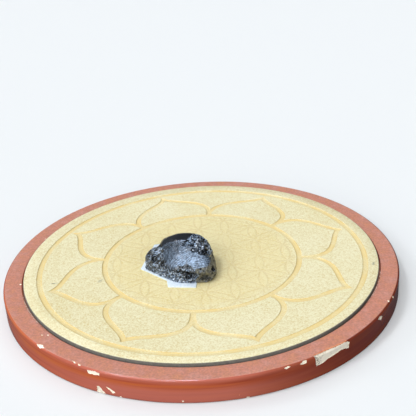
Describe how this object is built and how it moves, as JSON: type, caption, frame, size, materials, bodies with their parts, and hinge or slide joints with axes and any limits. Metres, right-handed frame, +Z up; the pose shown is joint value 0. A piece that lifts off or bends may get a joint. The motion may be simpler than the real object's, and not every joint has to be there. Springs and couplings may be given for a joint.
{
  "type": "tektite on a display board",
  "caption": "Lump of black natural glass, pitted and scooped, resting on a card slip on a round painted board with a carved lotus panel.",
  "frame": {"origin": "middle of the board's underside, at the height of the surface it stands on", "axes": "+Z up through the board, -Y towards the low front of the stone, +X to the right of a viewer who looks along +Y"},
  "size_m": [0.252, 0.252, 0.0393],
  "materials": {
    "impact_glass": "gloss",
    "white_card": "matte",
    "carved_fibreboard": "matte",
    "painted_wood": "satin"
  },
  "bodies": {
    "root": {"tektite": "impact_glass", "card_slip": "white_card", "lotus_panel": "carved_fibreboard", "round_board": "painted_wood"}
  },
  "joints": []
}
